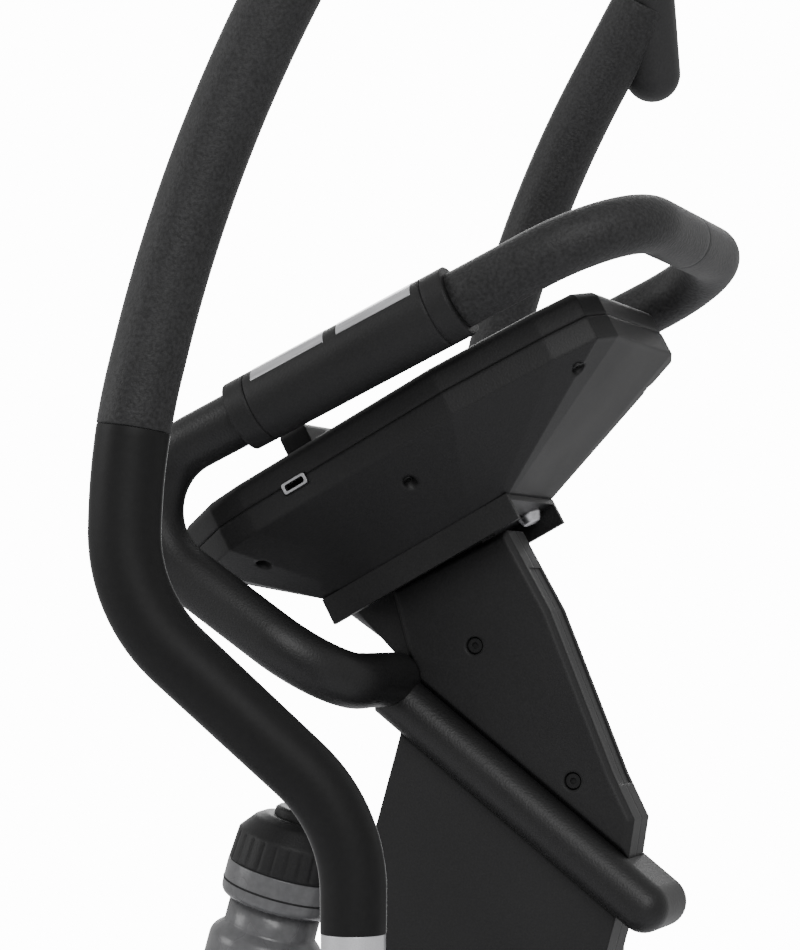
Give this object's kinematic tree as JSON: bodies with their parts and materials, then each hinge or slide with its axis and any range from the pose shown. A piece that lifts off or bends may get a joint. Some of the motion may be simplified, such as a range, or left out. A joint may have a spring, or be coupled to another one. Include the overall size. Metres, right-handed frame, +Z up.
{
  "type": "elliptical trainer",
  "caption": "Elliptical trainer with swinging handlebars, a fixed grip bar, a tilted console on a bowed mast, a bottle in its holder, pedals on long arms and a covered rear drive.",
  "frame": {"origin": "on the floor, under the middle of the machine's length and width", "axes": "+X towards the front of the machine (the mast end), +Y to its left side, +Z up; the user stands facing +X"},
  "size_m": [1.866, 0.618, 1.7546],
  "materials": {
    "black_frame": "satin black powder coat",
    "silver_tube": "satin silver paint",
    "black_cover": "fine moulded texture",
    "black_sleeve": "smooth matt vinyl",
    "grip_foam": "dense mottled foam",
    "contact_plate": "brushed",
    "steel": "zinc plated",
    "dark_screw": "black oxide",
    "cast_rim": "machined rim",
    "rubber": "ribbed",
    "screen": "polished dark lens",
    "button": "satin",
    "bottle_wall": "smoky translucent"
  },
  "bodies": {
    "root": {"bar_foam_left": "grip_foam", "bar_foam_right": "grip_foam", "bottle_holder": "black_cover", "console_back": "black_cover", "console_bracket": "black_frame", "console_front": "black_cover", "console_screen": "screen", "crown_bar": "black_frame", "drive_belt": "rubber", "drive_frame": "black_frame", "end_caps": "black_cover", "fixed_handlebar": "black_frame", "front_stabilizer": "black_frame", "levelling_feet": "rubber", "main_beam": "black_frame", "mast_boot": "black_cover", "mast_column": "black_frame", "mast_cover_left": "black_cover", "mast_cover_right": "black_cover", "neck_cover_left": "black_cover", "neck_cover_right": "black_cover", "pivot_axle": "steel", "pivot_caps": "black_cover", "power_inlet": "black_cover", "pulse_grip_left": "black_cover", "pulse_grip_right": "black_cover", "pulse_plates": "contact_plate", "rear_stabilizer": "black_frame", "screws": "dark_screw", "shroud_left": "black_cover", "shroud_right": "black_cover", "tablet_ledge": "black_cover", "wheel_brackets": "black_frame"},
    "swing_right": {"swing_arm_right": "silver_tube", "handle_sleeve_right": "black_sleeve", "handle_foam_right": "grip_foam", "top_grip_right": "grip_foam"},
    "swing_left": {"swing_arm_left": "silver_tube", "handle_sleeve_left": "black_sleeve", "handle_foam_left": "grip_foam", "top_grip_left": "grip_foam"},
    "pedal_link_right": {"pedal_arm_right": "black_frame", "pedal_right": "black_cover", "pedal_mat_right": "rubber"},
    "pedal_link_left": {"pedal_arm_left": "black_frame", "pedal_left": "black_cover", "pedal_mat_left": "rubber"},
    "crank": {"crank": "black_frame", "crank_pulley": "black_cover"},
    "flywheel": {"flywheel": "cast_rim"},
    "idler": {"idler": "black_cover"},
    "brake_arm": {"brake_arm": "steel"},
    "wheel_right": {"transport_wheel_right": "rubber"},
    "wheel_left": {"transport_wheel_left": "rubber"},
    "button_down": {"button_down": "button"},
    "button_start": {"button_start": "button"},
    "button_up": {"button_up": "button"},
    "bottle": {"bottle": "bottle_wall", "bottle_cap": "black_cover"},
    "bottle_spout": {"bottle_spout": "black_cover"}
  },
  "joints": [
    {"name": "swing_right", "type": "hinge", "parent": "root", "child": "swing_right", "pos_m": [0.698, -0.222, 0.79], "axis": [0, 1, 0], "range_deg": [-25.8, 25.8]},
    {"name": "swing_left", "type": "hinge", "parent": "root", "child": "swing_left", "pos_m": [0.698, 0.222, 0.79], "axis": [0, 1, 0], "range_deg": [-25.8, 25.8]},
    {"name": "pedal_right", "type": "hinge", "parent": "swing_right", "child": "pedal_link_right", "pos_m": [0.698, -0.172, 0.33], "axis": [0, 1, 0], "range_deg": [-25.8, 25.8]},
    {"name": "pedal_left", "type": "hinge", "parent": "swing_left", "child": "pedal_link_left", "pos_m": [0.698, 0.172, 0.33], "axis": [0, 1, 0], "range_deg": [-25.8, 25.8]},
    {"name": "crank_spin", "type": "hinge", "parent": "root", "child": "crank", "pos_m": [-0.59, 0, 0.33], "axis": [0, 1, 0], "continuous": true},
    {"name": "flywheel_spin", "type": "hinge", "parent": "root", "child": "flywheel", "pos_m": [-0.795, 0, 0.29], "axis": [0, 1, 0], "continuous": true},
    {"name": "idler_spin", "type": "hinge", "parent": "root", "child": "idler", "pos_m": [-0.74908, 0.073, 0.21034], "axis": [0, 1, 0], "continuous": true},
    {"name": "brake_adjust", "type": "hinge", "parent": "root", "child": "brake_arm", "pos_m": [-0.87898, 0, 0.3866], "axis": [0, -1, 0], "range_deg": [0, 12]},
    {"name": "wheel_right_spin", "type": "hinge", "parent": "root", "child": "wheel_right", "pos_m": [0.908, -0.18, 0.03], "axis": [0, 1, 0], "continuous": true},
    {"name": "wheel_left_spin", "type": "hinge", "parent": "root", "child": "wheel_left", "pos_m": [0.908, 0.18, 0.03], "axis": [0, 1, 0], "continuous": true},
    {"name": "button_down_press", "type": "slide", "parent": "root", "child": "button_down", "axis": [-0.4695, 0, 0.8829], "range_m": [-0.0015, 0], "stiffness_N_per_m": 300},
    {"name": "button_start_press", "type": "slide", "parent": "root", "child": "button_start", "axis": [-0.4695, 0, 0.8829], "range_m": [-0.0015, 0], "stiffness_N_per_m": 300},
    {"name": "button_up_press", "type": "slide", "parent": "root", "child": "button_up", "axis": [-0.4695, 0, 0.8829], "range_m": [-0.0015, 0], "stiffness_N_per_m": 300},
    {"name": "bottle_lift", "type": "slide", "parent": "root", "child": "bottle", "axis": [0.2756, 0, 0.9613], "range_m": [0, 0.05]},
    {"name": "spout_pull", "type": "slide", "parent": "bottle", "child": "bottle_spout", "axis": [0.2756, 0, 0.9613], "range_m": [0, 0.006]}
  ],
  "couplings": [
    {"joint": "swing_left", "follows": "swing_right", "ratio": -1},
    {"joint": "pedal_right", "follows": "swing_right", "ratio": -1},
    {"joint": "pedal_left", "follows": "swing_right", "ratio": 1},
    {"joint": "flywheel_spin", "follows": "crank_spin", "ratio": 6.6667},
    {"joint": "idler_spin", "follows": "crank_spin", "ratio": -8.8889}
  ]
}
